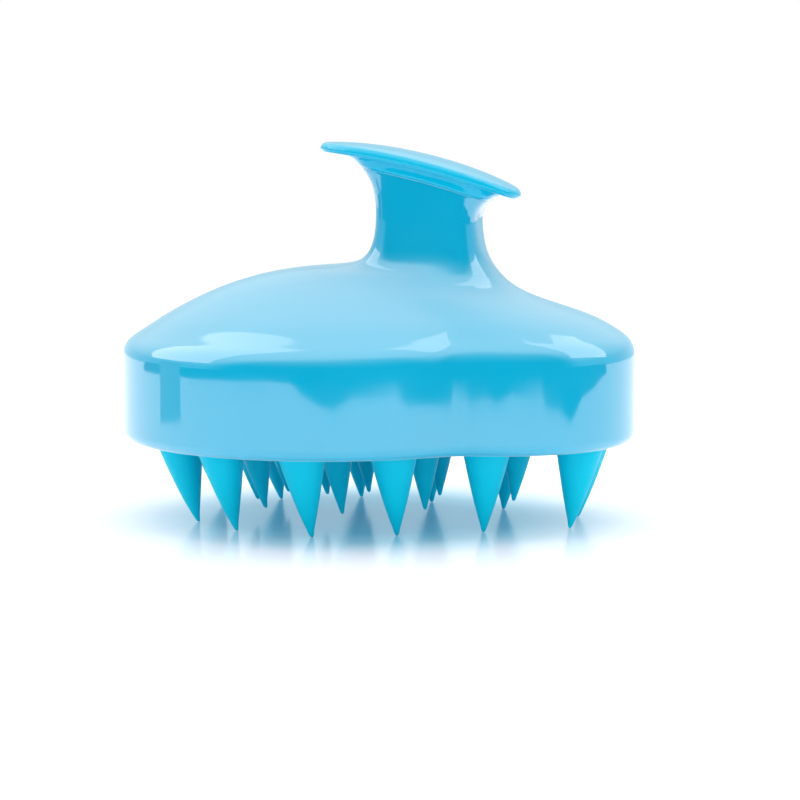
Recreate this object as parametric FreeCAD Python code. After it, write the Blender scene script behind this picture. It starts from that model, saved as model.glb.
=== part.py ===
"""Hand scalp massager: pear-shaped shell with a palm grip on a stem, over a pad of flexing bristles.

Millimetres. X runs along the brush (+X is the end that the grip slopes down to), Y across it, Z up.
The long bristles stand on z = 0 and the shell is centred on the Z axis.
"""

import FreeCAD, Part
import math
import os

# Plan of the shell: a large lobe and a small lobe, blended at the waist
HALF_LENGTH = 45.0
LARGE_LOBE_R = 35.9
SMALL_LOBE_LENGTH_R = 22.5
SMALL_LOBE_WIDTH_R = 24.3
PLAN_CENTRE_X = 12.0  # a point inside both lobes, from which the plan is measured
WAIST_BLEND = 2.0  # how far the blend fills the corner between the lobes
SECTION_POINTS = 48

# Shell
RIM_Z = 14.3
RIM_EDGE_R = 2.1
SHOULDER_Z = 29.0
WALL = 2.5

# Stations of the shell above the wall, from the shoulder up the dome and the stem to inside the
# palm rest. Each one is a closed curve: left end (x, z), right end (x, z), half width, share of
# the pear plan, squareness, and camber (how far its middle rises above the line between its ends)
STATIONS = [
    (-45.0, 29.0, 45.0, 29.0, 35.9, 1.00, 2.0, 0.0),
    (-44.8, 30.3, 44.8, 30.4, 35.7, 1.00, 2.0, 0.0),
    (-44.0, 31.6, 44.1, 31.9, 34.9, 1.00, 2.0, 0.0),
    (-42.1, 33.0, 42.4, 33.4, 33.1, 1.00, 2.0, 0.0),
    (-38.4, 35.4, 38.9, 35.4, 29.9, 0.97, 2.0, 0.0),
    (-32.8, 38.5, 33.6, 37.4, 25.2, 0.85, 2.0, 0.0),
    (-26.6, 41.2, 28.7, 39.0, 20.4, 0.60, 2.1, 0.0),
    (-19.5, 43.2, 24.8, 40.7, 15.6, 0.32, 2.2, 0.0),
    (-12.0, 44.3, 22.1, 42.6, 12.2, 0.12, 2.4, 0.0),
    (-5.6, 44.9, 20.3, 44.5, 10.2, 0.00, 2.8, 0.0),
    (-2.4, 46.0, 19.2, 46.2, 9.3, 0.00, 3.3, 0.0),
    (-0.8, 47.9, 18.4, 48.3, 8.8, 0.00, 3.9, 0.0),
    (0.1, 51.4, 17.9, 51.2, 8.5, 0.00, 4.4, 0.0),
    (0.1, 56.2, 17.9, 53.2, 8.5, 0.00, 4.4, 0.1),
    (-0.7, 59.2, 18.5, 54.8, 8.5, 0.00, 4.2, 0.4),
    (-2.1, 61.4, 19.7, 56.0, 8.5, 0.00, 3.8, 0.8),
    (-4.3, 63.4, 21.5, 56.9, 8.6, 0.00, 3.3, 1.1),
    (-6.2, 64.4, 23.2, 57.4, 8.7, 0.00, 3.0, 1.2),
    (-6.4, 68.0, 23.4, 61.0, 8.7, 0.00, 3.0, 0.0),
]

STEM_X = 9.0  # middle of the stem

# Palm rest: a thin plate bent along X on a large radius, sloping down to +X
PALM_LEFT = (-10.0, 65.3)  # middle of the plate's thickness at its two ends
PALM_RIGHT = (24.9, 56.9)
PALM_DEPTH = 21.0
PALM_BEND_R = 105.0
PALM_THICKNESS = 1.6
PALM_SQUARENESS = 2.4
PALM_EDGE_R = 0.5
COLLAR = 2.0  # height of the collar between the plate and the seam with the stem
SPIGOT_BOTTOM_Z = 49.0
SPIGOT_RIB = 2.4
SPIGOT_CLEARANCE = 0.06
SPIGOT_ROOT = 0.5  # how far the spigot reaches into the collar

# Backing plate and the bosses that carry it
BOSS_R = 3.6
BOSS_PLACES = [(-27.0, 13.0), (-27.0, -13.0), (25.0, 12.0), (25.0, -12.0)]
PEG_R = 1.6
PEG_LENGTH = 6.0
PEG_CLEARANCE = 0.05
PEG_HOLE_SPARE = 0.5  # depth of the hole beyond the peg's end
PLATE_BOTTOM_Z = 20.0
PLATE_THICKNESS = 2.0
PLATE_EDGE_CLEARANCE = 0.15

# Silicone pad with its grip studs
PAD_FACE_Z = 15.0
PAD_EDGE_CLEARANCE = 0.06
STUD_R = 2.6
STUD_LENGTH = 5.0
STUD_CLEARANCE = 0.06
STUD_PLACES = [(-13.0, 0.0), (-14.0, 24.0), (-14.0, -24.0), (34.0, 0.0), (12.0, 16.0), (12.0, -16.0)]

# Bristles: cones that lean in towards the middle, with a ball root in a socket of the pad
LEAN_CENTRE_X = 12.0
LEAN_PER_MM = 0.30  # degrees of lean for each millimetre from the middle
PIVOT_DEPTH = 3.0  # the ball's centre below the pad's face
SOCKET_CLEARANCE = 0.05
LONG_TIP_R = 0.85
LONG_ROOT_R = 4.3
SHORT_TIP_R = 0.8
SHORT_ROOT_R = 3.2
OUTER_TIPS = [(-30.2, 10.0), (-21.4, 18.6), (-7.3, 23.6), (6.5, 19.2), (20.5, 13.4), (34.5, 6.4)]
INNER_TIPS = [(-18.2, 9.8, 2.7), (-4.0, 13.0, 2.5), (9.6, 8.5, 2.9)]
CENTRE_TIPS = [(-21.7, 0.0, 2.7), (-9.1, 0.0, 3.9), (3.9, 0.0, 4.0), (24.0, 0.0, 3.5)]

OVERLAP = 1.0  # joined and cut bodies start this far inside or outside the material
TRIMMED = 50.0  # longer than any body that another surface trims


def vector(x, y, z):
    return FreeCAD.Vector(x, y, z)


def closed_curve(points):
    """Smooth closed wire through the points, evenly parametrised so that all sections match."""
    curve = Part.BSplineCurve()
    steps = [i / len(points) for i in range(len(points) + 1)]
    curve.interpolate(Points=points, PeriodicFlag=True, Parameters=steps)
    return Part.Wire([curve.toShape()])


def ray_to_lobe(angle, centre_x, length_r, width_r):
    """Distance from the plan's centre, in the direction angle, to an ellipse round (centre_x, 0)."""
    offset = PLAN_CENTRE_X - centre_x
    a = (math.cos(angle) / length_r) ** 2 + (math.sin(angle) / width_r) ** 2
    b = offset * math.cos(angle) / length_r**2
    c = (offset / length_r) ** 2 - 1.0
    return (-b + math.sqrt(b * b - a * c)) / a


def plan_point(angle):
    """Point of the pear-shaped plan: the two lobes with a soft blend between them."""
    large = ray_to_lobe(angle, LARGE_LOBE_R - HALF_LENGTH, LARGE_LOBE_R, LARGE_LOBE_R)
    small = ray_to_lobe(angle, HALF_LENGTH - SMALL_LOBE_LENGTH_R, SMALL_LOBE_LENGTH_R, SMALL_LOBE_WIDTH_R)
    reach = small + WAIST_BLEND * math.log(math.exp((large - small) / WAIST_BLEND) + 1.0)
    return PLAN_CENTRE_X + reach * math.cos(angle), reach * math.sin(angle)


def angles():
    return [2.0 * math.pi * i / SECTION_POINTS for i in range(SECTION_POINTS)]


def plan_wire(inset, z):
    """The shell's plan, moved inwards by inset, as a wire at height z."""
    points = []
    step = 0.001
    for angle in angles():
        x, y = plan_point(angle)
        ahead = plan_point(angle + step)
        behind = plan_point(angle - step)
        dx, dy = ahead[0] - behind[0], ahead[1] - behind[1]
        length = math.hypot(dx, dy)
        points.append(vector(x - inset * dy / length, y + inset * dx / length, z))
    return closed_curve(points)


def plan_prism(inset, bottom, top):
    face = Part.Face(plan_wire(inset, bottom))
    return face.extrude(vector(0, 0, top - bottom))


def rounded(value, squareness):
    """Signed power that turns a circle's cosine or sine into a superellipse's."""
    return math.copysign(abs(value) ** (2.0 / squareness), value)


def station_wire(station):
    left_x, left_z, right_x, right_z, half_width, pear, squareness, camber = station
    centre_x, half_x = (left_x + right_x) / 2, (right_x - left_x) / 2
    centre_z, half_z = (left_z + right_z) / 2, (right_z - left_z) / 2
    points = []
    for angle in angles():
        px, py = plan_point(angle)
        across = pear * px / HALF_LENGTH + (1 - pear) * rounded(math.cos(angle), squareness)
        deep = pear * py / LARGE_LOBE_R + (1 - pear) * rounded(math.sin(angle), squareness)
        z = centre_z + half_z * across + camber * (1 - across * across)
        points.append(vector(centre_x + half_x * across, half_width * deep, z))
    return closed_curve(points)


def moved_in(profile, distance):
    """Offset a profile of (x, z) points to the right of its direction of travel."""
    result = []
    for i, (x, z) in enumerate(profile):
        before = profile[max(i - 1, 0)]
        after = profile[min(i + 1, len(profile) - 1)]
        dx, dz = after[0] - before[0], after[1] - before[1]
        length = math.hypot(dx, dz)
        result.append((x + distance * dz / length, z - distance * dx / length))
    return result


def inner_stations(inset):
    """The stations of the shell's hollow: the left, right and front profiles moved in by inset."""
    left = moved_in([(s[0], s[1]) for s in STATIONS], inset)
    right = moved_in([(s[2], s[3]) for s in STATIONS], -inset)
    front = moved_in([(-s[4], (s[1] + s[3]) / 2) for s in STATIONS], inset)
    rows = []
    for station, (lx, lz), (rx, rz), (width, _) in zip(STATIONS, left, right, front):
        rows.append((lx, lz, rx, rz, -width) + station[5:])
    return rows


def dome(stations, inset):
    """Solid from the top of the wall up, through the stations."""
    wires = [plan_wire(inset, SHOULDER_Z)] + [station_wire(s) for s in stations[1:]]
    return Part.makeLoft(wires, True, False, False, 5)


def cylinder(x, y, bottom, radius, height):
    return Part.makeCylinder(radius, height, vector(x, y, bottom))


def palm_bend_centre():
    """Centre of the arc through the two ends of the palm rest's mid-surface."""
    (x0, z0), (x1, z1) = PALM_LEFT, PALM_RIGHT
    chord = math.hypot(x1 - x0, z1 - z0)
    drop = math.sqrt(PALM_BEND_R**2 - (chord / 2) ** 2)
    return (x0 + x1) / 2 + drop * (z1 - z0) / chord, (z0 + z1) / 2 - drop * (x1 - x0) / chord


def under_bend(radius):
    """Everything inside a cylinder of the given radius round the palm rest's bend axis."""
    x, z = palm_bend_centre()
    half = 3 * PALM_DEPTH
    return Part.makeCylinder(radius, 2 * half, vector(x, -half, z), vector(0, 1, 0))


def outer_solid():
    """Wall, dome and stem as one solid body, up to inside the palm rest."""
    wall = plan_prism(0.0, RIM_Z, SHOULDER_Z)
    rim_edges = [e for e in wall.Edges if abs(e.BoundBox.ZMax - RIM_Z) < 0.01]
    wall = wall.makeFillet(RIM_EDGE_R, rim_edges)
    return wall.fuse(dome(STATIONS, 0.0))


def hollow_solid(inset):
    """The shell's hollow, with its walls moved in by inset."""
    return plan_prism(inset, RIM_Z - OVERLAP, SHOULDER_Z).fuse(dome(inner_stations(inset), inset))


def body_shell(outer, hollow, seam_radius):
    """Glossy one-piece moulding: side wall, dome and hollow stem, with four bosses inside."""
    shell = outer.cut(hollow).common(under_bend(seam_radius))
    plate_top = PLATE_BOTTOM_Z + PLATE_THICKNESS
    for x, y in BOSS_PLACES:
        boss = cylinder(x, y, plate_top, BOSS_R, TRIMMED).common(outer)
        shell = shell.fuse(boss)
    hole_depth = PEG_LENGTH + PEG_HOLE_SPARE
    for x, y in BOSS_PLACES:
        shell = shell.cut(cylinder(x, y, plate_top - OVERLAP, PEG_R + PEG_CLEARANCE, OVERLAP + hole_depth))
    return shell


def palm_outline():
    """Superellipse prism round the palm rest, along Z."""
    half_length = (PALM_RIGHT[0] - PALM_LEFT[0]) / 2
    centre_x = (PALM_RIGHT[0] + PALM_LEFT[0]) / 2
    points = []
    for angle in angles():
        x = centre_x + half_length * rounded(math.cos(angle), PALM_SQUARENESS)
        y = PALM_DEPTH / 2 * rounded(math.sin(angle), PALM_SQUARENESS)
        points.append(vector(x, y, SPIGOT_BOTTOM_Z))
    return Part.Face(closed_curve(points)).extrude(vector(0, 0, TRIMMED))


def palm_rest(outer, seam_radius):
    """Bent plate with rounded edges, a collar that continues the stem, and a cross-shaped spigot."""
    half = PALM_THICKNESS / 2
    plate = palm_outline().common(under_bend(PALM_BEND_R + half)).cut(under_bend(PALM_BEND_R - half))
    plate = plate.makeFillet(PALM_EDGE_R, [e for e in plate.Edges if len(e.Vertexes) == 1])
    collar = outer.common(under_bend(PALM_BEND_R)).cut(under_bend(seam_radius))
    reach = TRIMMED / 2
    rib = SPIGOT_RIB / 2
    along = Part.makeBox(TRIMMED, SPIGOT_RIB, TRIMMED, vector(STEM_X - reach, -rib, SPIGOT_BOTTOM_Z))
    across = Part.makeBox(SPIGOT_RIB, TRIMMED, TRIMMED, vector(STEM_X - rib, -reach, SPIGOT_BOTTOM_Z))
    cross = along.fuse(across).common(hollow_solid(WALL + SPIGOT_CLEARANCE))
    spigot = cross.common(under_bend(seam_radius + SPIGOT_ROOT))
    return plate.fuse(collar).fuse(spigot)


def backing_plate():
    """Flat plate across the shell's hollow, pegged into the bosses, with holes for the pad's studs."""
    plate_top = PLATE_BOTTOM_Z + PLATE_THICKNESS
    plate = plan_prism(WALL + PLATE_EDGE_CLEARANCE, PLATE_BOTTOM_Z, plate_top)
    for x, y in BOSS_PLACES:
        plate = plate.fuse(cylinder(x, y, PLATE_BOTTOM_Z, PEG_R, PLATE_THICKNESS + PEG_LENGTH))
    for x, y in STUD_PLACES:
        hole_r = STUD_R + STUD_CLEARANCE
        plate = plate.cut(cylinder(x, y, PLATE_BOTTOM_Z - OVERLAP, hole_r, PLATE_THICKNESS + 2 * OVERLAP))
    return plate


def lean(value):
    """Slope by which a bristle's root stands further out than its tip, at this distance from the middle."""
    return math.tan(math.radians(LEAN_PER_MM * value))


def bristle_axis(tip, tip_r):
    """Lower end of the bristle's axis, and its direction up to the root. The lowest point is at tip."""
    x, y, z = tip
    direction = vector(lean(x - LEAN_CENTRE_X), lean(y), 1.0).normalize()
    return vector(x, y, z + tip_r) - direction * tip_r, direction


def pivot_of(tip, tip_r):
    """Centre of the bristle's ball root."""
    point, direction = bristle_axis(tip, tip_r)
    return point + direction * ((PAD_FACE_Z - PIVOT_DEPTH - point.z) / direction.z)


def ball_radius(root_r):
    return math.hypot(root_r, PIVOT_DEPTH)


def on_circle(centre_h, radius, angle):
    """Point of a bristle's outline on a circle centred on its axis, angle measured from the tip's end."""
    return vector(radius * math.sin(angle), 0, centre_h - radius * math.cos(angle))


def bristle(tip, tip_r, root_r):
    """Cone with a rounded tip and a ball-shaped root, turned about its own leaning axis."""
    point, direction = bristle_axis(tip, tip_r)
    ball_r = ball_radius(root_r)
    height = (pivot_of(tip, tip_r) - point).Length
    root_h = height + PIVOT_DEPTH
    tip_end = math.pi / 2 - math.atan2(root_r - tip_r, root_h)
    crown = (1.5 * math.pi + math.atan2(PIVOT_DEPTH, root_r)) / 2
    start = vector(0, 0, 0)
    edge = on_circle(tip_r, tip_r, tip_end)
    root = vector(root_r, 0, root_h)
    top = vector(0, 0, height + ball_r)
    outline = [
        Part.Arc(start, on_circle(tip_r, tip_r, tip_end / 2), edge).toShape(),
        Part.makeLine(edge, root),
        Part.Arc(root, on_circle(height, ball_r, crown), top).toShape(),
        Part.makeLine(top, start),
    ]
    solid = Part.Face(Part.Wire(outline)).revolve(vector(0, 0, 0), vector(0, 0, 1), 360)
    turn = FreeCAD.Rotation(vector(0, 0, 1), direction)
    solid.Placement = FreeCAD.Placement(point, turn)
    return solid


def all_bristles():
    """Every bristle as (tip, tip radius, root radius), numbered from the -X end to the +X end."""
    rows = [((x, side * y, 0.0), LONG_TIP_R, LONG_ROOT_R) for x, y in OUTER_TIPS for side in (-1, 1)]
    rows += [((x, side * y, z), SHORT_TIP_R, SHORT_ROOT_R) for x, y, z in INNER_TIPS for side in (-1, 1)]
    rows += [(tip, SHORT_TIP_R, SHORT_ROOT_R) for tip in CENTRE_TIPS]
    return sorted(rows)


def bristle_pad(bristles):
    """Silicone moulding inside the rim: a thick pad with ball sockets, and grip studs on its back."""
    pad = plan_prism(WALL + PAD_EDGE_CLEARANCE, PAD_FACE_Z, PLATE_BOTTOM_Z)
    for x, y in STUD_PLACES:
        pad = pad.fuse(cylinder(x, y, PLATE_BOTTOM_Z - OVERLAP, STUD_R, STUD_LENGTH + OVERLAP))
    for tip, tip_r, root_r in bristles:
        pad = pad.cut(Part.makeSphere(ball_radius(root_r) + SOCKET_CLEARANCE, pivot_of(tip, tip_r)))
    return pad


def save(shape, name):
    shape.Solids[0].exportStep(f"parts/{name}.step")


def main():
    os.makedirs("parts", exist_ok=True)
    seam_radius = PALM_BEND_R - PALM_THICKNESS / 2 - COLLAR
    outer = outer_solid()
    bristles = all_bristles()
    save(body_shell(outer, hollow_solid(WALL), seam_radius), "body_shell")
    save(palm_rest(outer, seam_radius), "palm_rest")
    save(backing_plate(), "backing_plate")
    save(bristle_pad(bristles), "bristle_pad")
    for number, (tip, tip_r, root_r) in enumerate(bristles, start=1):
        save(bristle(tip, tip_r, root_r), f"bristle_{number:02d}")


if __name__ == "__main__":
    main()
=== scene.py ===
"""Scalp massager brush: smooth moulded skins, materials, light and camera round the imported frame.

Sizes are in millimetres in the frame's axes and become metres when a mesh is made. X runs along the
brush, Y across it, Z up, and the long bristles stand on z = 0.
"""

import bmesh
import bpy
import math
import numpy as np
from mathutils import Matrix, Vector


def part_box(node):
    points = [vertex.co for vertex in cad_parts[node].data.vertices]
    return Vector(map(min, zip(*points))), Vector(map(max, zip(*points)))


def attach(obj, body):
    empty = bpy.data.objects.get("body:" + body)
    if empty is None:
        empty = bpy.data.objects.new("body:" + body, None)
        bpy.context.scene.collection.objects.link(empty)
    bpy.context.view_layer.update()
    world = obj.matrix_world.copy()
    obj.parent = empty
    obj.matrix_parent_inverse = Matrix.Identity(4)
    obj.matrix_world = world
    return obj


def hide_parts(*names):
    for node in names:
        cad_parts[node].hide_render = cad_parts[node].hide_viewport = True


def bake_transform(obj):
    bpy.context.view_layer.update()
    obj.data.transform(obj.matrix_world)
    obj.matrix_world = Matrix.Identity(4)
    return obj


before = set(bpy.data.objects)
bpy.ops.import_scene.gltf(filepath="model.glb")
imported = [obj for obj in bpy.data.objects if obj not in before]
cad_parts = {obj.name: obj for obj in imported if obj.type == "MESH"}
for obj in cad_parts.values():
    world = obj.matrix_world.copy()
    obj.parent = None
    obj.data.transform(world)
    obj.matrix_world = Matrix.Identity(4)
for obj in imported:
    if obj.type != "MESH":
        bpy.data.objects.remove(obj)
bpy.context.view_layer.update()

MM = 0.001
COLUMNS = 256  # points round each loop of a skin
ANGLES = np.linspace(0.0, 2.0 * math.pi, COLUMNS, endpoint=False)


def box_mm(node):
    """Lowest and highest corner of a CAD node, in millimetres."""
    low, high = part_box(node)
    return np.array(low) / MM, np.array(high) / MM


SHELL_LOW, SHELL_HIGH = box_mm("body_shell")
PAD_LOW, PAD_HIGH = box_mm("bristle_pad")
BACKING_LOW = box_mm("backing_plate")[0]
PALM_LOW, PALM_HIGH = box_mm("palm_rest")

# Shell
BOX_MARGIN = 0.002  # keeps rounded coordinates inside the CAD box
HALF_LENGTH = SHELL_HIGH[0] - BOX_MARGIN
LARGE_LOBE_R = SHELL_HIGH[1]
SMALL_LOBE_LENGTH_R = 22.5
SMALL_LOBE_WIDTH_R = 24.3
PLAN_CENTRE_X = 12.0
WAIST_BLEND = 2.0  # how softly the two lobes meet
RIM_Z = SHELL_LOW[2]
RIM_EDGE_R = 2.1
RIM_INNER_R = 0.35
RIM_EDGE_ROWS = 9
RIM_INNER_ROWS = 5
WALL = 2.5

# Stations from the wall up the dome and the stem: left end (x, z), right end (x, z), half width,
# share of the pear plan, squareness, and camber
STATIONS = np.array([
    (-45.0, 29.0, 45.0, 29.0, 35.9, 1.00, 2.0, 0.0),
    (-44.8, 30.3, 44.8, 30.4, 35.7, 1.00, 2.0, 0.0),
    (-44.0, 31.6, 44.1, 31.9, 34.9, 1.00, 2.0, 0.0),
    (-42.1, 33.0, 42.4, 33.4, 33.1, 1.00, 2.0, 0.0),
    (-38.4, 35.4, 38.9, 35.4, 29.9, 0.97, 2.0, 0.0),
    (-32.8, 38.5, 33.6, 37.4, 25.2, 0.85, 2.0, 0.0),
    (-26.6, 41.2, 28.7, 39.0, 20.4, 0.60, 2.1, 0.0),
    (-19.5, 43.2, 24.8, 40.7, 15.6, 0.32, 2.2, 0.0),
    (-12.0, 44.3, 22.1, 42.6, 12.2, 0.12, 2.4, 0.0),
    (-5.6, 44.9, 20.3, 44.5, 10.2, 0.00, 2.8, 0.0),
    (-2.4, 46.0, 19.2, 46.2, 9.3, 0.00, 3.3, 0.0),
    (-0.8, 47.9, 18.4, 48.3, 8.8, 0.00, 3.9, 0.0),
    (0.1, 51.4, 17.9, 51.2, 8.5, 0.00, 4.4, 0.0),
    (0.1, 56.2, 17.9, 53.2, 8.5, 0.00, 4.4, 0.1),
    (-0.7, 59.2, 18.5, 54.8, 8.5, 0.00, 4.2, 0.4),
    (-2.1, 61.4, 19.7, 56.0, 8.5, 0.00, 3.8, 0.8),
    (-4.3, 63.4, 21.5, 56.9, 8.6, 0.00, 3.3, 1.1),
    (-6.2, 64.4, 23.2, 57.4, 8.7, 0.00, 3.0, 1.2),
    (-6.4, 68.0, 23.4, 61.0, 8.7, 0.00, 3.0, 0.0),
])
STEM_STATION = 8  # above this one the surface can meet the palm rest
WALL_ROWS = 8
DOME_ROWS = 150
INNER_ROWS = 60
SEAM_ROWS = 5
REACH_SAMPLES = 600
PLAN_STEP = 0.001  # turn, in radians, over which the plan's slope is taken

# Palm rest
PALM_LEFT = np.array((-10.0, 65.3))  # (x, z) of the ends of its mid-surface
PALM_RIGHT = np.array((24.9, 56.9))
PALM_DEPTH = PALM_HIGH[1] - PALM_LOW[1]
PALM_BEND_R = 105.0
PALM_THICKNESS = 1.6
PALM_SQUARENESS = 2.4
PALM_CROWN = 0.5
PALM_TOP_R = 1.1
PALM_BOTTOM_R = 0.18
PALM_DRAFT = 0.35  # how much smaller the edge is at its bottom
PALM_MIDDLE_SHARE = 0.04  # size of the innermost loop of the top, as a share of the outline
PALM_CROWN_ROWS = 26
PALM_TOP_ROWS = 9
PALM_BOTTOM_ROWS = 7
UNDERSIDE_SHARES = (0.25, 0.5, 0.75)  # rows from the plate's edge to the stem
FLARE_SHARE = 0.45  # how far down the collar its flare ends
FLARE_ROWS = 9
COLLAR_SHARES = (0.6, 0.8)  # rows from the flare to the seam
COLLAR = 2.0  # height from the plate to the seam
SEAM_R = PALM_BEND_R - PALM_THICKNESS / 2 - COLLAR
SEAM_GAP = 0.01  # width of the groove between the shell and the palm rest
SEAM_EDGE = 0.15  # radius of the shell's edge along it
PLUG_LENGTH = 5.0
PLUG_CLEARANCE = 0.15
PLUG_END_SHARE = 0.3  # size of the last loop on the plug's end

# Pad and bristles
PAD_EDGE = 0.12
# The pad's section: (inset from its side, height above its lower face or depth below its upper face)
PAD_LOWER = [
    (14.0, 0.0), (8.0, 0.0), (3.4, 0.0), (2.6, 0.0), (2.2, 0.45), (1.6, 0.45),
    (1.2, 0.0), (0.6, 0.0), (0.25, 0.1), (0.07, 0.3), (0.0, 0.7),
]
PAD_UPPER = [(0.0, 0.7), (0.07, 0.3), (0.25, 0.1), (0.6, 0.0), (8.0, 0.0), (14.0, 0.0)]
PAD_MIDDLE = np.array((-5.0, 0.0, 0.0))
PAD_SHRINK = (0.5, 0.5, 1.0)  # from the innermost loop of the section to the one round the middle
STUD_PLACES = [(-13.0, 0.0), (-14.0, 24.0), (-14.0, -24.0), (34.0, 0.0), (12.0, 16.0), (12.0, -16.0)]
STUD_R = 2.5
STUD_FOOT = 0.4
STUD_FOOT_SHARE = 0.8
STUD_FOOT_ROWS = 5
STUD_HEAD_R = 1.0
STUD_HEAD_ROWS = 9
LONG_TIP_Z = 0.5  # only long bristles have their tips below this
LEAN_CENTRE_X = 12.0
LEAN_PER_MM = 0.30  # degrees of lean for each mm from LEAN_CENTRE_X or from the XZ plane
LONG_ROOT_R = 4.3
SHORT_ROOT_R = 3.2
TAPER = 0.8  # power of the bristle's outline: below 1 bulges it towards the tip
TIP_BLUNT = 0.5  # height over which the tip is rounded
TIP_SHARES = [0.002, 0.006, 0.012, 0.02, 0.03, 0.045]  # heights of the loops, as shares of the bristle's
BODY_SHARES = np.linspace(0.065, 1.0, 44)
FILLET = 0.9  # radius where a bristle meets the pad
ROOT_SHARE = 0.9  # size of the last loop, which is sunk in the pad
ROOT_DEPTH = 0.6
BRISTLE_COLUMNS = 48
BRISTLE_TURN = np.linspace(0.0, 2.0 * math.pi, BRISTLE_COLUMNS, endpoint=False)
# Tubes for the backing plate's pegs
BOSS_PLACES = [(-27.0, 13.0), (-27.0, -13.0), (25.0, 12.0), (25.0, -12.0)]
BOSS_R = 3.6
BOSS_HOLE_R = 1.65
BOSS_EDGE = 0.3
BOSS_HEIGHT = 14.0
PLATE_THICKNESS = 2.0


# ---------------------------------------------------------------- shape formulas


def ray_to_lobe(angle, centre_x, length_r, width_r):
    """Distance from the plan's centre, in the direction angle, to an ellipse round (centre_x, 0)."""
    offset = PLAN_CENTRE_X - centre_x
    a = (np.cos(angle) / length_r) ** 2 + (np.sin(angle) / width_r) ** 2
    b = offset * np.cos(angle) / length_r**2
    c = (offset / length_r) ** 2 - 1.0
    return (-b + np.sqrt(b * b - a * c)) / a


def plan(angle):
    """Pear-shaped plan of the shell: x and y at each angle."""
    large = ray_to_lobe(angle, LARGE_LOBE_R - HALF_LENGTH, LARGE_LOBE_R, LARGE_LOBE_R)
    small = ray_to_lobe(angle, HALF_LENGTH - SMALL_LOBE_LENGTH_R, SMALL_LOBE_LENGTH_R, SMALL_LOBE_WIDTH_R)
    reach = small + WAIST_BLEND * np.log(np.exp((large - small) / WAIST_BLEND) + 1.0)
    return PLAN_CENTRE_X + reach * np.cos(angle), reach * np.sin(angle)


def plan_loop(inset, z):
    """The plan moved inwards by inset, as a loop of points at height z."""
    x, y = plan(ANGLES)
    ahead_x, ahead_y = plan(ANGLES + PLAN_STEP)
    behind_x, behind_y = plan(ANGLES - PLAN_STEP)
    dx = ahead_x - behind_x
    dy = ahead_y - behind_y
    length = np.hypot(dx, dy)
    return np.stack([x - inset * dy / length, y + inset * dx / length, np.full_like(x, z)], 1)


def rounded(value, squareness):
    """Signed power that turns a circle's cosine or sine into a superellipse's."""
    return np.copysign(np.abs(value) ** (2.0 / squareness), value)


def station_loop(station):
    """One station's loop of points: its ends, width and camber, between the pear and a superellipse."""
    left_x, left_z, right_x, right_z, half_width, pear, squareness, camber = station
    px, py = plan(ANGLES)
    across = pear * px / HALF_LENGTH + (1 - pear) * rounded(np.cos(ANGLES), squareness)
    deep = pear * py / LARGE_LOBE_R + (1 - pear) * rounded(np.sin(ANGLES), squareness)
    x = (left_x + right_x) / 2 + (right_x - left_x) / 2 * across
    z = (left_z + right_z) / 2 + (right_z - left_z) / 2 * across + camber * (1 - across * across)
    return np.stack([x, half_width * deep, z], 1)


def second_differences(knots, values, first_slope):
    """Second derivatives of the cubic spline through values at knots, with a given slope at its start."""
    count = len(knots)
    gaps = np.diff(knots)
    matrix = np.eye(count)
    right = np.zeros((count, values.shape[1]))
    matrix[0, 0:2] = 2 * gaps[0], gaps[0]
    right[0] = 6 * ((values[1] - values[0]) / gaps[0] - first_slope)
    for i in range(1, count - 1):
        matrix[i, i - 1 : i + 2] = gaps[i - 1], 2 * (gaps[i - 1] + gaps[i]), gaps[i]
        slope_after = (values[i + 1] - values[i]) / gaps[i]
        slope_before = (values[i] - values[i - 1]) / gaps[i - 1]
        right[i] = 6 * (slope_after - slope_before)
    return np.linalg.solve(matrix, right)


class Column:
    """The shell's outer surface above the wall: a cubic spline up each column, through the stations."""

    def __init__(self):
        """Loops at the stations, and the bends of the splines through them."""
        left = np.hypot(*np.diff(STATIONS[:, 0:2], axis=0).T)
        right = np.hypot(*np.diff(STATIONS[:, 2:4], axis=0).T)
        self.knots = np.concatenate([[0.0], np.cumsum((left + right) / 2)])
        self.loops = np.array([station_loop(s) for s in STATIONS])
        flat = self.loops.reshape(len(STATIONS), -1)
        upright = np.tile((0.0, 0.0, 1.0), COLUMNS)
        self.bends = second_differences(self.knots, flat, upright).reshape(self.loops.shape)

    def at(self, u):
        """One loop of points: column j at its own place u[j] along the spline."""
        i = np.clip(np.searchsorted(self.knots, u, side="right") - 1, 0, len(self.knots) - 2)
        j = np.arange(len(u))
        gap = (self.knots[i + 1] - self.knots[i])[:, None]
        b = (u - self.knots[i])[:, None] / gap
        a = 1.0 - b
        low, high = self.loops[i, j], self.loops[i + 1, j]
        curve = (a**3 - a) * self.bends[i, j] + (b**3 - b) * self.bends[i + 1, j]
        return a * low + b * high + curve * gap**2 / 6.0

    def reach(self, radius):
        """For each column, how far along it first meets the cylinder of that radius round the palm bend."""
        samples = np.linspace(self.knots[STEM_STATION], self.knots[-1], REACH_SAMPLES)
        before = bend_distance(self.at(np.full(COLUMNS, samples[0])))
        found = np.full(COLUMNS, samples[-1])
        open_columns = np.ones(COLUMNS, bool)
        for low, high in zip(samples[:-1], samples[1:]):
            after = bend_distance(self.at(np.full(COLUMNS, high)))
            crossing = open_columns & (before < radius) & (after >= radius)
            share = (radius - before) / np.where(after > before, after - before, 1.0)
            found[crossing] = low + (high - low) * share[crossing]
            open_columns &= ~crossing
            before = after
        return found


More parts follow.
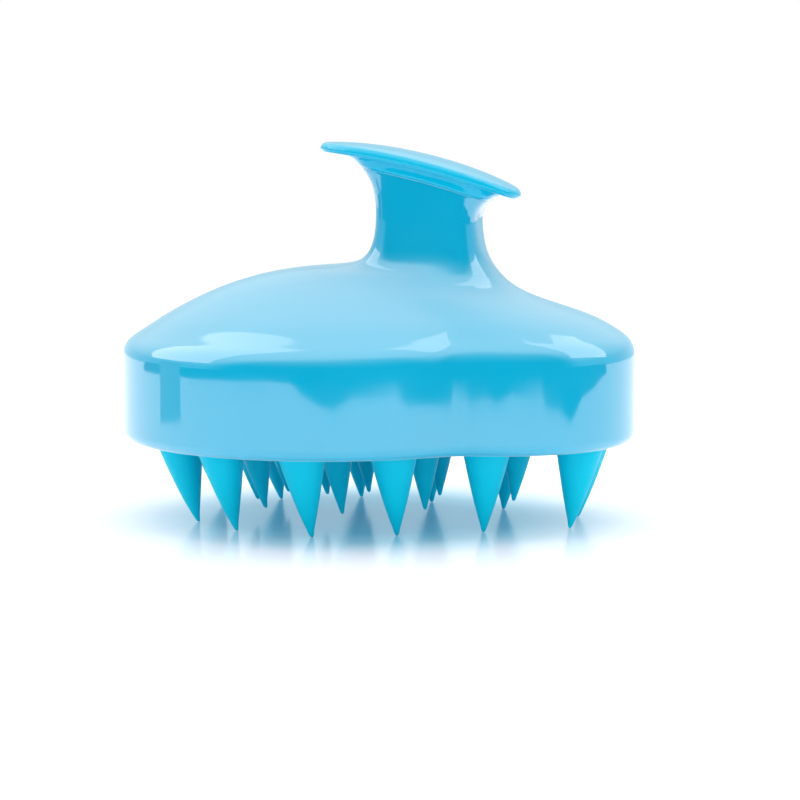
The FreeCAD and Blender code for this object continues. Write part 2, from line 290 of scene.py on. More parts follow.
def bend_centre():
    """Centre (x, z) of the arc through the two ends of the palm rest's mid-surface."""
    chord = PALM_RIGHT - PALM_LEFT
    length = np.hypot(*chord)
    drop = math.sqrt(PALM_BEND_R**2 - (length / 2) ** 2)
    return (PALM_LEFT + PALM_RIGHT) / 2 + drop * np.array((chord[1], -chord[0])) / length


BEND_X, BEND_Z = bend_centre()


def bend_distance(points):
    """Distance of each point from the axis of the palm rest's bend."""
    return np.hypot(points[:, 0] - BEND_X, points[:, 2] - BEND_Z)


def on_bend(x, y, height):
    """Points over the palm rest's mid-surface at plan (x, y), raised by height along its normal."""
    sine = (x - BEND_X) / PALM_BEND_R
    cosine = np.sqrt(1.0 - sine**2)
    radius = PALM_BEND_R + height
    return np.stack([BEND_X + radius * sine, y, BEND_Z + radius * cosine], 1)


def corner(before, tip, after, steps):
    """Loops that round a corner: a curve from before to after, pulled towards tip."""
    loops = []
    for t in np.linspace(0.0, 1.0, steps):
        loops.append((1 - t) ** 2 * before + 2 * t * (1 - t) * tip + t * t * after)
    return loops


# ---------------------------------------------------------------- mesh making


def side_faces(rows, size, wrap):
    """Quads between each loop and the next. With wrap, the last loop joins the first."""
    around = np.arange(size)
    following = (around + 1) % size
    faces = []
    for row in range(rows if wrap else rows - 1):
        low, high = row * size, (row + 1) % rows * size
        quads = np.stack([low + around, low + following, high + following, high + around], 1)
        faces.extend(quads.tolist())
    return faces


def end_faces(rows, size):
    """Triangles from the first and the last loop to their poles, the two points after the loops' points."""
    around = np.arange(size)
    following = (around + 1) % size
    pole = np.full(size, rows * size)
    top = (rows - 1) * size
    first = np.stack([following, around, pole], 1)
    last = np.stack([top + around, top + following, pole + 1], 1)
    return first.tolist() + last.tolist()


def skin(name, loops, wrap=False):
    """Closed smooth mesh through equal loops of points in mm.

    Ends close at a pole in the middle of the first and last loop, or the last loop joins the first.
    """
    rows, size = len(loops), len(loops[0])
    points = np.concatenate(loops) * MM
    faces = side_faces(rows, size, wrap)
    if not wrap:
        poles = np.array([loops[0].mean(0), loops[-1].mean(0)]) * MM
        points = np.concatenate([points, poles])
        faces += end_faces(rows, size)
    mesh = bpy.data.meshes.new(name)
    mesh.from_pydata(points.tolist(), [], faces)
    work = bmesh.new()
    work.from_mesh(mesh)
    bmesh.ops.recalc_face_normals(work, faces=work.faces)
    work.to_mesh(mesh)
    work.free()
    mesh.polygons.foreach_set("use_smooth", [True] * len(mesh.polygons))
    piece = bpy.data.objects.new(name, mesh)
    bpy.context.scene.collection.objects.link(piece)
    return piece


def normals_of(rows):
    """Outward normals of a grid of loops, from neighbouring points."""
    grid = np.array(rows)
    around = np.roll(grid, -1, 1) - np.roll(grid, 1, 1)
    up = np.gradient(grid, axis=0)
    normal = np.cross(around, up)
    return normal / np.linalg.norm(normal, axis=2, keepdims=True)


def rim_section():
    """(inset, z) round the bottom of the wall, from its outer face to its inner face."""
    points = []
    for turn in np.linspace(0.0, 1.0, RIM_EDGE_ROWS) * (math.pi / 2):
        inset = RIM_EDGE_R * (1 - math.cos(turn))
        points.append((inset, RIM_Z + RIM_EDGE_R * (1 - math.sin(turn))))
    for turn in np.linspace(0.0, 1.0, RIM_INNER_ROWS) * (math.pi / 2):
        inset = WALL - RIM_INNER_R * (1 - math.sin(turn))
        points.append((inset, RIM_Z + RIM_INNER_R * (1 - math.cos(turn))))
    return points


def shell_skin(column):
    """Outer wall, dome and stem up to the seam, and the hollow inside them."""
    seam = column.reach(SEAM_R - SEAM_GAP)
    wall_heights = np.linspace(RIM_Z + RIM_EDGE_R, STATIONS[0][1], WALL_ROWS)[1:-1]
    outer = [plan_loop(0.0, z) for z in wall_heights]
    outer += [column.at(share * (seam - SEAM_EDGE)) for share in np.linspace(0.0, 1.0, DOME_ROWS)]
    normals = normals_of(outer)
    wall_top = outer[-1] - WALL * normals[-1]
    edge = column.at(seam)
    inward = (wall_top - outer[-1]) / WALL
    top_outer = corner(outer[-1], edge, edge + SEAM_EDGE * inward, SEAM_ROWS)[1:]
    top_inner = edge + (WALL - SEAM_EDGE) * inward
    inner_count = np.linspace(len(outer) - 1, 0, INNER_ROWS).round().astype(int)
    inner = [outer[i] - WALL * normals[i] for i in inner_count]
    rim = [plan_loop(inset, z) for inset, z in reversed(rim_section())]
    return skin("shell_body", outer + top_outer + [top_inner] + inner + rim, wrap=True)


def palm_outline(inset, share=1.0):
    """Plan (x, y) of the palm rest, moved in by inset and then shrunk towards its middle."""
    centre_x = (PALM_LEFT[0] + PALM_RIGHT[0]) / 2
    half = np.array(((PALM_RIGHT[0] - PALM_LEFT[0]) / 2, PALM_DEPTH / 2))
    x = half[0] * rounded(np.cos(ANGLES), PALM_SQUARENESS)
    y = half[1] * rounded(np.sin(ANGLES), PALM_SQUARENESS)
    dx = np.copysign(np.abs(x / half[0]) ** (PALM_SQUARENESS - 1), x) / half[0]
    dy = np.copysign(np.abs(y / half[1]) ** (PALM_SQUARENESS - 1), y) / half[1]
    length = np.hypot(dx, dy)
    return centre_x + share * (x - inset * dx / length), share * (y - inset * dy / length)


def palm_plate():
    """Loops of the crowned plate: from the middle of its top, round its drafted edge, to its underside."""
    half = PALM_THICKNESS / 2
    loops = []
    for share in np.linspace(PALM_MIDDLE_SHARE, 1.0, PALM_CROWN_ROWS)[:-1]:
        crown = PALM_CROWN * (1 - share**3)
        loops.append(on_bend(*palm_outline(PALM_TOP_R, share), half + crown))
    top = half - PALM_TOP_R
    for turn in np.linspace(math.pi / 2, 0.0, PALM_TOP_ROWS):
        outline = palm_outline(PALM_TOP_R * (1 - math.cos(turn)))
        loops.append(on_bend(*outline, top + PALM_TOP_R * math.sin(turn)))
    bottom = PALM_BOTTOM_R - half
    for turn in np.linspace(0.0, -math.pi / 2, PALM_BOTTOM_ROWS):
        outline = palm_outline(PALM_DRAFT + PALM_BOTTOM_R * (1 - math.cos(turn)))
        loops.append(on_bend(*outline, bottom + PALM_BOTTOM_R * math.sin(turn)))
    return loops


def palm_collar(column, edge):
    """Loops from the plate's edge, along its underside and down the flared collar to the seam."""
    half = PALM_THICKNESS / 2
    under = column.reach(PALM_BEND_R - half)
    seam = column.reach(SEAM_R)
    root = column.at(under)
    loops = []
    for share in UNDERSIDE_SHARES:
        plan_x = edge[:, 0] + share * (root[:, 0] - edge[:, 0])
        plan_y = edge[:, 1] + share * (root[:, 1] - edge[:, 1])
        sine = (plan_x - BEND_X) / (PALM_BEND_R - half) * PALM_BEND_R
        loops.append(on_bend(BEND_X + sine, plan_y, -half))
    below = column.at(under + FLARE_SHARE * (seam - under))
    loops += corner(loops[-1], root, below, FLARE_ROWS)[1:]
    for share in COLLAR_SHARES:
        loops.append(column.at(under + share * (seam - under)))
    loops.append(column.at(seam))
    return loops


def palm_plug(above, seam):
    """Loops from the seam into the hollow stem. The loop above the seam gives its slope."""
    normal = normals_of([above, seam])[1]
    inward = normal * np.sign(np.sum(normal[:, 1] * -seam[:, 1]))
    start = seam + (WALL + PLUG_CLEARANCE) * inward
    end = start - np.array((0.0, 0.0, PLUG_LENGTH))
    middle = end.mean(0)
    return [seam + SEAM_EDGE * inward, start, end, middle + PLUG_END_SHARE * (end - middle)]


def palm_skin(column):
    """Crowned plate with a drafted edge, the flared collar under it, and the plug in the stem."""
    loops = palm_plate()
    loops += palm_collar(column, loops[-1])
    loops += palm_plug(loops[-2], loops[-1])
    return skin("palm_rest_cap", loops)


def pad_skin():
    """Silicone pad with rounded edges and a shallow bead round its lower face."""
    low, high = PAD_LOW[2], BACKING_LOW[2]
    section = [(inset, low + rise) for inset, rise in PAD_LOWER]
    section += [(inset, high - drop) for inset, drop in PAD_UPPER]
    loops = [plan_loop(WALL + PAD_EDGE + inset, z) for inset, z in section]
    first = PAD_MIDDLE + (loops[0] - PAD_MIDDLE) * PAD_SHRINK
    last = PAD_MIDDLE + (loops[-1] - PAD_MIDDLE) * PAD_SHRINK
    return skin("silicone_pad", [first] + loops + [last])


def ring(x, y, z, radius):
    """Loop of points round a vertical axis through (x, y)."""
    around_x = x + radius * np.cos(BRISTLE_TURN)
    around_y = y + radius * np.sin(BRISTLE_TURN)
    return np.stack([around_x, around_y, np.full(BRISTLE_COLUMNS, z)], 1)


def stud_skin(number, x, y):
    """Grip stud on the back of the pad: a bevelled foot, a straight neck and a rounded head."""
    foot, head = BACKING_LOW[2], PAD_HIGH[2]
    profile = [(STUD_R * STUD_FOOT_SHARE, foot - STUD_FOOT)]
    for share in np.linspace(0.0, 1.0, STUD_FOOT_ROWS):
        profile.append((STUD_R, foot + STUD_FOOT * share))
    for turn in np.linspace(0.0, 1.0, STUD_HEAD_ROWS) * (math.pi / 2):
        radius = STUD_R - STUD_HEAD_R + STUD_HEAD_R * math.cos(turn)
        profile.append((radius, head - STUD_HEAD_R + STUD_HEAD_R * math.sin(turn)))
    return skin(f"pad_stud_{number}", [ring(x, y, z, radius) for radius, z in profile])


def boss_skin(number, x, y):
    """Tube inside the shell that takes one of the backing plate's pegs."""
    low = BACKING_LOW[2] + PLATE_THICKNESS
    top = low + BOSS_HEIGHT
    outside = [(BOSS_R, top), (BOSS_R, low + BOSS_EDGE), (BOSS_R - BOSS_EDGE, low)]
    inside = [(BOSS_HOLE_R + BOSS_EDGE, low), (BOSS_HOLE_R, low + BOSS_EDGE), (BOSS_HOLE_R, top)]
    return skin(f"shell_boss_{number}", [ring(x, y, z, radius) for radius, z in outside + inside], wrap=True)


def slant(distance):
    """Sideways run of a bristle for each mm of its height, at this distance from the upright ones."""
    return math.tan(math.radians(LEAN_PER_MM * distance))


def claw_radius(root_r, share, height):
    """Radius at a share of a bristle's height: blunt tip, bulging outline, flare into the pad."""
    rise = share * height
    blunt = TIP_BLUNT * rise * math.exp(-rise / TIP_BLUNT)
    radius = math.sqrt((root_r * share**TAPER) ** 2 + blunt)
    gap = max(0.0, rise - (height - FILLET)) / FILLET
    return radius + FILLET * (1 - math.sqrt(max(0.0, 1 - gap * gap)))


def bristle_skin(node):
    """Claw-shaped bristle that leans towards its tip, over the CAD node's tip and root."""
    points = np.array([v.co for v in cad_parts[node].data.vertices]) / MM
    tip = points[points[:, 2].argmin()]
    root_r = LONG_ROOT_R if tip[2] < LONG_TIP_Z else SHORT_ROOT_R
    height = PAD_LOW[2] - tip[2]
    lean_x = slant(tip[0] - LEAN_CENTRE_X) * height
    lean_y = slant(tip[1]) * height
    loops = []
    for share in [*TIP_SHARES, *BODY_SHARES]:
        bow = share**TAPER
        radius = claw_radius(root_r, share, height)
        loops.append(ring(tip[0] + lean_x * bow, tip[1] + lean_y * bow, tip[2] + share * height, radius))
    last = loops[-1]
    middle = last.mean(0)
    loops.append(middle + ROOT_SHARE * (last - middle) + (0.0, 0.0, ROOT_DEPTH))
    return skin(node.replace("bristle", "claw"), loops)


# ---------------------------------------------------------------- materials


def srgb(red, green, blue):
    """Linear colour from 0-255 screen values."""
    linear = []
    for value in (red, green, blue):
        share = value / 255.0
        linear.append(share / 12.92 if share <= 0.04045 else ((share + 0.055) / 1.055) ** 2.4)
    return (*linear, 1.0)


# Pairs between which a slow noise mixes: (darker, lighter) colours
SHELL_COLOURS = srgb(0, 165, 203), srgb(2, 170, 208)
GRIP_COLOURS = srgb(0, 176, 212), srgb(2, 181, 217)
SILICONE_COLOURS = srgb(0, 193, 221), srgb(0, 200, 227)
BACKING_COLOURS = srgb(222, 238, 244), srgb(232, 244, 248)
# (smoothest, roughest)
GLOSS_ROUGHNESS = 0.035, 0.085
SILICONE_ROUGHNESS = 0.34, 0.46
BACKING_ROUGHNESS = 0.45, 0.6
FLOOR_ROUGHNESS = 0.16, 0.2
SHELL_INDEX = 1.9
SHELL_SHEEN = 0.6
GRIP_INDEX = 1.4
GRIP_SHEEN = 0.2
SHEEN_TINT = (0.85, 0.97, 1.0, 1.0)
SILICONE_SCATTER = (0.25, 0.9, 1.0)
# The floor changes with the distance from its middle, in metres. Near the brush its colour is a painted cyan
# shade that fades to white further out
FLOOR_PAINTED_SHADE_COLOUR = (0.3, 0.82, 0.95, 1.0)
FLOOR_FAR_COLOUR = (0.95, 0.95, 0.96, 1.0)
FLOOR_PAINTED_SHADE_REACH = 0.018, 0.04
FLOOR_GLOSS_REACH = 0.04, 0.085
# Painted light: a glow that rises with the distance and lifts the floor's shadow round the brush
FLOOR_PAINTED_LIGHT_REACH = 0.026, 0.064
FLOOR_PAINTED_LIGHT = 0.05, 0.4
FLOOR_PAINTED_LIGHT_COLOUR = (1.0, 0.86, 0.94, 1.0)
BLACK = (0.002, 0.002, 0.003, 1.0)
WHITE = (1.0, 1.0, 1.0, 1.0)


class Material:
    """A Principled material with helpers for its procedural detail, in object space."""

    def __init__(self, name):
        """New material with its shader, and the place on the object as the source of its detail."""
        self.material = bpy.data.materials.new(name)
        self.material.use_nodes = True
        self.nodes = self.material.node_tree.nodes
        self.links = self.material.node_tree.links
        self.shader = self.nodes["Principled BSDF"]
        self.place = self.nodes.new("ShaderNodeTexCoord").outputs["Object"]

    def set(self, **values):
        """Values of the shader's inputs, by name with _ for a space."""
        for name, value in values.items():
            self.shader.inputs[name.replace("_", " ")].default_value = value

    def noise(self, size_mm, detail):
        """Noise whose blotches are about size_mm across, with this many finer octaves."""
        node = self.nodes.new("ShaderNodeTexNoise")
        node.inputs["Scale"].default_value = 1.0 / (size_mm * MM)
        node.inputs["Detail"].default_value = detail
        self.links.new(self.place, node.inputs["Vector"])
        return node.outputs["Fac"]

    def ranged(self, source, low, high, source_low=0.3, source_high=0.7):
        """The source spread over low to high. Without other limits it is a noise, which stays near 0.5."""
        node = self.nodes.new("ShaderNodeMapRange")
        node.inputs["From Min"].default_value = source_low
        node.inputs["From Max"].default_value = source_high
        node.inputs["To Min"].default_value = low
        node.inputs["To Max"].default_value = high
        self.links.new(source, node.inputs["Value"])
        return node.outputs["Result"]

    def mixed(self, factor, first, second):
        """Colour that goes from first to second as factor goes from 0 to 1."""
        node = self.nodes.new("ShaderNodeMix")
        node.data_type = "RGBA"
        self.links.new(factor, node.inputs["Factor"])
        node.inputs["A"].default_value = first
        node.inputs["B"].default_value = second
        return node.outputs["Result"]

    def bumps(self, *layers):
        """Chained bump nodes, one for each (height source, height in mm)."""
        normal = None
        for source, height_mm in layers:
            node = self.nodes.new("ShaderNodeBump")
            node.inputs["Distance"].default_value = height_mm * MM
            self.links.new(source, node.inputs["Height"])
            if normal is not None:
                self.links.new(normal, node.inputs["Normal"])
            normal = node.outputs["Normal"]
        self.links.new(normal, self.shader.inputs["Normal"])

    def flowing(self, size_mm, colours):
        """Base colour that varies slowly between two colours."""
        flow = self.ranged(self.noise(size_mm, 3.0), 0.0, 1.0)
        self.links.new(self.mixed(flow, *colours), self.shader.inputs["Base Color"])

    def hazy(self, size_mm, detail, limits):
        """Roughness that varies between two limits."""
        haze = self.ranged(self.noise(size_mm, detail), *limits)
        self.links.new(haze, self.shader.inputs["Roughness"])


def gloss_plastic(name, colours, index, sheen):
    """High-gloss moulded plastic: even cyan with faint flow variation, haze and a moulding ripple."""
    made = Material(name)
    made.flowing(28.0, colours)
    made.hazy(9.0, 5.0, GLOSS_ROUGHNESS)
    made.bumps((made.noise(5.0, 1.0), 0.004), (made.noise(0.35, 2.0), 0.0003))
    made.set(IOR=index, Sheen_Weight=sheen, Sheen_Roughness=0.38, Sheen_Tint=SHEEN_TINT)
    return made.material


def silicone():
    """Soft satin silicone: translucent cyan with a fine matt bloom."""
    made = Material("silicone_cyan")
    made.flowing(14.0, SILICONE_COLOURS)
    made.hazy(2.2, 4.0, SILICONE_ROUGHNESS)
    made.bumps((made.noise(0.25, 3.0), 0.004), (made.noise(1.6, 2.0), 0.006))
    made.set(IOR=1.42, Specular_IOR_Level=0.15, Subsurface_Weight=0.25, Subsurface_Scale=0.0015)
    made.set(Subsurface_Radius=SILICONE_SCATTER)
    return made.material


def matte_plastic():
    """Pale unpolished plastic of the backing plate, with a spark-eroded grain."""
    made = Material("matte_plastic_pale")
    made.flowing(20.0, BACKING_COLOURS)
    made.hazy(3.0, 4.0, BACKING_ROUGHNESS)
    made.bumps((made.noise(0.3, 3.0), 0.008))
    return made.material


def floor_acrylic():
    """White floor, glossy near the brush and matt further out, with a painted cyan shade under the brush and
    a painted glow that lifts the shadow round it.
    """
    made = Material("white_acrylic")
    distance = made.nodes.new("ShaderNodeVectorMath")
    distance.operation = "LENGTH"
    made.links.new(made.place, distance.inputs[0])
    reach = distance.outputs["Value"]
    # Painted shade: cyan under the brush, fading to white further out
    away = made.ranged(reach, 0.0, 1.0, *FLOOR_PAINTED_SHADE_REACH)
    made.links.new(made.mixed(away, FLOOR_PAINTED_SHADE_COLOUR, FLOOR_FAR_COLOUR), made.shader.inputs["Base Color"])
    made.hazy(12.0, 4.0, FLOOR_ROUGHNESS)
    gloss = made.ranged(reach, 1.0, 0.0, *FLOOR_GLOSS_REACH)
    made.links.new(gloss, made.shader.inputs["Specular IOR Level"])
    # Painted light: emission that rises with the distance and lifts the shadow round the brush
    glow = made.ranged(reach, *FLOOR_PAINTED_LIGHT, *FLOOR_PAINTED_LIGHT_REACH)
    made.links.new(glow, made.shader.inputs["Emission Strength"])
    made.set(IOR=1.45, Emission_Color=FLOOR_PAINTED_LIGHT_COLOUR)
    return made.material


def dress(piece, material, body, replaced=()):
    """Give a piece its material and slot, the CAD nodes it replaces, and the body it rides on if any."""
    piece.data.materials.clear()
    piece.data.materials.append(material)
    if replaced:
        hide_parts(*replaced)
    if body:
        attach(piece, body)


# ---------------------------------------------------------------- studio


# Camera, from the foot of the brush
CAMERA_AZIMUTH = 9.83
CAMERA_ELEVATION = 8.88
CAMERA_DISTANCE = 500.0
FOCAL_LENGTH = 127.3
SENSOR_WIDTH = 36.0
CLIP = 0.01, 20.0  # metres
FOOT = Vector((0.4, 0.0, 0.0))
AIM_SIDE = 3.37  # how far the aim lies beside and above the foot, square to the view
AIM_UP = 20.74

FLOOR_REACH = 600.0
AMBIENT = 0.85  # the room's light on matt surfaces
# The glossy surfaces see a studio that is brightest overhead: (height on the sky, brightness)
SKY_BEHIND = [
    (-1.0, (0.3, 0.55, 0.7)),
    (0.0, (0.42, 0.7, 0.85)),
    (0.17, (0.5, 0.72, 0.85)),
    (0.35, (1.05, 1.2, 1.25)),
    (0.55, (1.5, 1.5, 1.45)),
    (0.8, (2.0, 1.9, 1.8)),
    (1.0, (2.2, 2.1, 2.0)),
]
SKY_IN_FRONT = [
    (-1.0, (0.0, 0.0, 0.0)),
    (0.3, (0.02, 0.02, 0.02)),
    (0.5, (0.2, 0.2, 0.2)),
    (0.7, (0.6, 0.6, 0.6)),
    (0.92, (1.8, 1.8, 1.7)),
    (1.0, (2.1, 2.0, 1.9)),
]
SKY_PEAK = 2.2
FRONT_EDGE = (0.25, 0.6)  # cosines of the angle from the camera's side over which the front sky fades in
SOFTBOX_TINT = (0.95, 0.9, 0.86, 1.0)
# Edge of a dark room beyond the board, and the foot of a light stand, both seen only as reflections
BOARD_EDGE = [
    (-300.0, 92.0), (-310.0, -60.0), (-240.0, -200.0), (-120.0, -300.0), (-60.0, -300.0),
    (-20.0, -262.0), (42.0, -226.0), (90.0, -236.0), (140.0, -214.0), (184.0, -190.0),
    (176.0, -150.0), (196.0, -112.0), (190.0, -72.0), (250.0, -40.0), (300.0, 92.0),
]
DARK_REACH = 1800.0
DARK_BACK = DARK_REACH / 3
DARK_ROOM = [
    (DARK_REACH, DARK_BACK), (DARK_REACH, -DARK_REACH),
    (-DARK_REACH, -DARK_REACH), (-DARK_REACH, DARK_BACK),
]
ABOVE_FLOOR = 0.2
# Corners of the softboxes: (azimuth, elevation)
LEFT_SOFTBOX = [
    (-60.0, 22.0), (-80.0, 18.0), (-105.0, 14.0), (-134.0, 38.0),
    (-134.0, 60.0), (-138.0, 77.0), (-85.0, 62.0), (-69.0, 49.0),
]
RIGHT_SOFTBOX = [
    (76.0, 24.0), (92.0, 20.0), (112.0, 12.0), (126.0, 36.0), (150.0, 46.0),
    (146.0, 57.0), (130.0, 62.0), (125.0, 75.0), (108.0, 68.0), (86.0, 54.0),
]
SOFTBOX_DISTANCE = 800.0
SOFTBOX_BRIGHTNESS = 3.4
BRUSH_MIDDLE = Vector((0.0, 0.0, 32.0))
LIGHT_SIZE = 900.0
LIGHT_DISTANCE = 900.0
TOP_LIGHT_ELEVATION = 84.0
TOP_LIGHT_POWER = 4.2
FRONT_LIGHT_ELEVATION = 14.0
FRONT_LIGHT_POWER = 1.1
STAND = (-190.0, -37.0)
STAND_WIDTH = 52.0
STAND_HEIGHT = 60.0
STAND_BRIGHTNESS = 0.45


def direction(azimuth, elevation):
    a, e = math.radians(azimuth), math.radians(elevation)
    return Vector((math.sin(a) * math.cos(e), -math.cos(a) * math.cos(e), math.sin(e)))


def camera():
    """Camera that looks at the brush from CAMERA_DISTANCE, with its aim beside and above the foot."""
    back = direction(CAMERA_AZIMUTH, CAMERA_ELEVATION)
    azimuth = math.radians(CAMERA_AZIMUTH)
    side = Vector((math.cos(azimuth), math.sin(azimuth), 0.0))
    up = back.cross(side)
    place = FOOT + back * CAMERA_DISTANCE
    aim = FOOT + side * AIM_SIDE + up * AIM_UP
    data = bpy.data.cameras.new("camera")
    data.lens = FOCAL_LENGTH
    data.sensor_width = SENSOR_WIDTH
    data.clip_start, data.clip_end = CLIP
    made = bpy.data.objects.new("camera", data)
    made.location = place * MM
    made.rotation_mode = "QUATERNION"
    made.rotation_quaternion = (aim - place).to_track_quat("-Z", "Y")
    bpy.context.scene.collection.objects.link(made)
    bpy.context.scene.camera = made


def staged(name, corners, material):
    """One flat polygon of the studio, from corners in mm."""
    mesh = bpy.data.meshes.new(name)
    mesh.from_pydata([[value * MM for value in corner] for corner in corners], [], [range(len(corners))])
    mesh.materials.append(material)
    made = bpy.data.objects.new(name, mesh)
    bpy.context.scene.collection.objects.link(made)
    return made


def flag(name, corners, material):
    """Card that takes no light away and shows only as a reflection."""
    made = staged(name, corners, material)
    made.visible_camera = False
    made.visible_diffuse = False
    made.visible_shadow = False
    made.visible_transmission = False


def glowing(name, brightness):
    """Material that gives off the softboxes' warm light and reflects nothing."""
    glow = bpy.data.materials.new(name)
    glow.use_nodes = True
    tree = glow.node_tree
    tree.nodes.clear()
    emission = tree.nodes.new("ShaderNodeEmission")
    emission.inputs["Color"].default_value = SOFTBOX_TINT
    emission.inputs["Strength"].default_value = brightness
    output = tree.nodes.new("ShaderNodeOutputMaterial")
    tree.links.new(emission.outputs["Emission"], output.inputs["Surface"])
    return glow


def softbox(name, outline):
    """Glowing panel that shows only as a reflection, from the (azimuth, elevation) of its corners."""
    centre = sum((direction(*place) for place in outline), Vector()) / len(outline)
    reach = SOFTBOX_DISTANCE * centre.normalized()
    corners = []
    for place in outline:
        ray = direction(*place)
        corners.append(BRUSH_MIDDLE + ray * (reach.length_squared / ray.dot(reach)))
    flag(name, corners, glowing(name, SOFTBOX_BRIGHTNESS))


def area_light(name, azimuth, elevation, power):
    """Soft light for the matt surfaces, aimed at the brush."""
    towards = direction(azimuth, elevation)
    data = bpy.data.lights.new(name, "AREA")
    data.size = LIGHT_SIZE * MM
    data.energy = power
    made = bpy.data.objects.new(name, data)
    made.location = (BRUSH_MIDDLE + towards * LIGHT_DISTANCE) * MM
    made.rotation_mode = "QUATERNION"
    made.rotation_quaternion = towards.to_track_quat("Z", "Y")
    made.visible_camera = False
    made.visible_glossy = False
    bpy.context.scene.collection.objects.link(made)


def sky_ramp(tree, height, stops):
    """Colour by height on the sky, as a share of its peak."""
    ramp = tree.nodes.new("ShaderNodeValToRGB")
    tree.links.new(height, ramp.inputs["Fac"])
    elements = ramp.color_ramp.elements
    while len(elements) < len(stops):
        elements.new(0.5)
    for element, (place, colour) in zip(elements, stops):
        element.position = (place + 1.0) / 2.0
        element.color = (*[value / SKY_PEAK for value in colour], 1.0)
    return ramp.outputs["Color"]


def chosen(tree, factor, first, second, kind="FLOAT"):
    """first where factor is 0, second where it is 1. Each is a value or another node's output."""
    node = tree.nodes.new("ShaderNodeMix")
    node.data_type = kind
    tree.links.new(factor, node.inputs["Factor"])
    for name, source in (("A", first), ("B", second)):
        if isinstance(source, bpy.types.NodeSocket):
            tree.links.new(source, node.inputs[name])
        else:
            node.inputs[name].default_value = source
    return node.outputs["Result"]


def reflected_sky(tree, place):
    """Colour of the sky for glossy rays: pale behind the brush, dark on the camera's side."""
    apart = tree.nodes.new("ShaderNodeSeparateXYZ")
    tree.links.new(place, apart.inputs["Vector"])
    height = tree.nodes.new("ShaderNodeMapRange")
    height.inputs["From Min"].default_value = -1.0
    tree.links.new(apart.outputs["Z"], height.inputs["Value"])
    behind = sky_ramp(tree, height.outputs["Result"], SKY_BEHIND)
    in_front = sky_ramp(tree, height.outputs["Result"], SKY_IN_FRONT)
    towards = tree.nodes.new("ShaderNodeVectorMath")
    towards.operation = "DOT_PRODUCT"
    tree.links.new(place, towards.inputs[0])
    towards.inputs[1].default_value = direction(CAMERA_AZIMUTH, 0.0)
    front = tree.nodes.new("ShaderNodeMapRange")
    front.interpolation_type = "SMOOTHSTEP"
    front.inputs["From Min"].default_value = FRONT_EDGE[0]
    front.inputs["From Max"].default_value = FRONT_EDGE[1]
    tree.links.new(towards.outputs["Value"], front.inputs["Value"])
    return chosen(tree, front.outputs["Result"], behind, in_front, "RGBA")


def sky():
    """White for the eye, even and white for matt surfaces, and reflected_sky for glossy ones."""
    world = bpy.data.worlds.new("studio")
    bpy.context.scene.world = world
    world.use_nodes = True
    tree = world.node_tree
    place = tree.nodes.new("ShaderNodeTexCoord").outputs["Generated"]
    path = tree.nodes.new("ShaderNodeLightPath")
    reflected = path.outputs["Is Glossy Ray"]
    colour = chosen(tree, reflected, WHITE, reflected_sky(tree, place), "RGBA")
    strength = tree.nodes.new("ShaderNodeMath")
    strength.operation = "MAXIMUM"
    tree.links.new(path.outputs["Is Camera Ray"], strength.inputs[0])
    tree.links.new(chosen(tree, reflected, AMBIENT, SKY_PEAK), strength.inputs[1])
    background = tree.nodes["Background"]
    tree.links.new(colour, background.inputs["Color"])
    tree.links.new(strength.outputs["Value"], background.inputs["Strength"])


def floor():
    """Level floor at the height of the bristle tips."""
    near, far = -FLOOR_REACH, FLOOR_REACH
    staged("floor", [(near, near, 0), (far, near, 0), (far, far, 0), (near, far, 0)], floor_acrylic())


def dark_room():
    """Black sheet just above the floor, from the board's edge outwards."""
    black = Material("black_flock")
    black.set(Base_Color=BLACK, Roughness=1.0, Specular_IOR_Level=0.0)
    flag("dark_room", [(x, y, ABOVE_FLOOR) for x, y in BOARD_EDGE + DARK_ROOM], black.material)


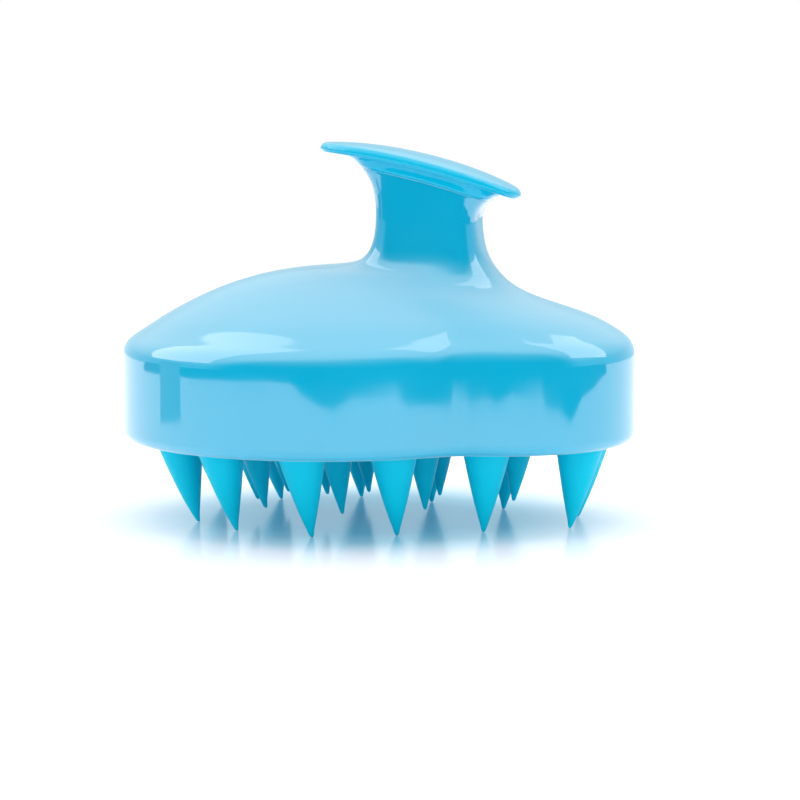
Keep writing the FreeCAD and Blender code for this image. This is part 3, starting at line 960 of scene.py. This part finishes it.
def light_stand():
    """Upright grey strip at the left, beyond the board."""
    x, y = STAND
    near, far = y - STAND_WIDTH / 2, y + STAND_WIDTH / 2
    low, high = ABOVE_FLOOR, STAND_HEIGHT
    corners = [(x, near, low), (x, far, low), (x, far, high), (x, near, high)]
    flag("light_stand", corners, glowing("grey_stand", STAND_BRIGHTNESS))


def studio():
    """Everything round the brush, and the plain view transform that keeps the colours as they are."""
    floor()
    dark_room()
    light_stand()
    softbox("left_softbox", LEFT_SOFTBOX)
    softbox("right_softbox", RIGHT_SOFTBOX)
    area_light("top_light", CAMERA_AZIMUTH + 180.0, TOP_LIGHT_ELEVATION, TOP_LIGHT_POWER)
    area_light("front_light", CAMERA_AZIMUTH, FRONT_LIGHT_ELEVATION, FRONT_LIGHT_POWER)
    sky()
    bpy.context.scene.view_settings.view_transform = "Standard"


# ---------------------------------------------------------------- assembly


def shell_and_palm(plastic, grip):
    """The two glossy mouldings, which aren't seen in each other's reflections."""
    column = Column()
    shell = shell_skin(column)
    shell.visible_glossy = False
    dress(shell, plastic, "shell", ["body_shell"])
    palm = palm_skin(column)
    palm.visible_glossy = False
    dress(palm, grip, "shell", ["palm_rest"])


def pad_and_tubes(rubber, plastic, matte):
    """Pad with its studs, the tubes inside the shell, and the CAD backing plate in its own material."""
    dress(pad_skin(), rubber, "pad", ["bristle_pad"])
    for number, (x, y) in enumerate(STUD_PLACES, start=1):
        dress(stud_skin(number, x, y), rubber, "pad")
    for number, (x, y) in enumerate(BOSS_PLACES, start=1):
        dress(boss_skin(number, x, y), plastic, "shell")
    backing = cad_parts["backing_plate"]
    backing.data.materials.clear()
    backing.data.materials.append(matte)


def bristles(rubber):
    """One skin for each bristle, in place of its CAD node."""
    for node in sorted(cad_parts):
        if node.startswith("bristle_") and node != "bristle_pad":
            claw = bristle_skin(node)
            dress(claw, rubber, None, [node])
            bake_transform(claw)


def main():
    """The brush, the camera and the studio."""
    plastic = gloss_plastic("gloss_plastic_cyan", SHELL_COLOURS, SHELL_INDEX, SHELL_SHEEN)
    grip = gloss_plastic("gloss_plastic_grip", GRIP_COLOURS, GRIP_INDEX, GRIP_SHEEN)
    rubber = silicone()
    matte = matte_plastic()
    shell_and_palm(plastic, grip)
    pad_and_tubes(rubber, plastic, matte)
    bristles(rubber)
    camera()
    studio()


main()
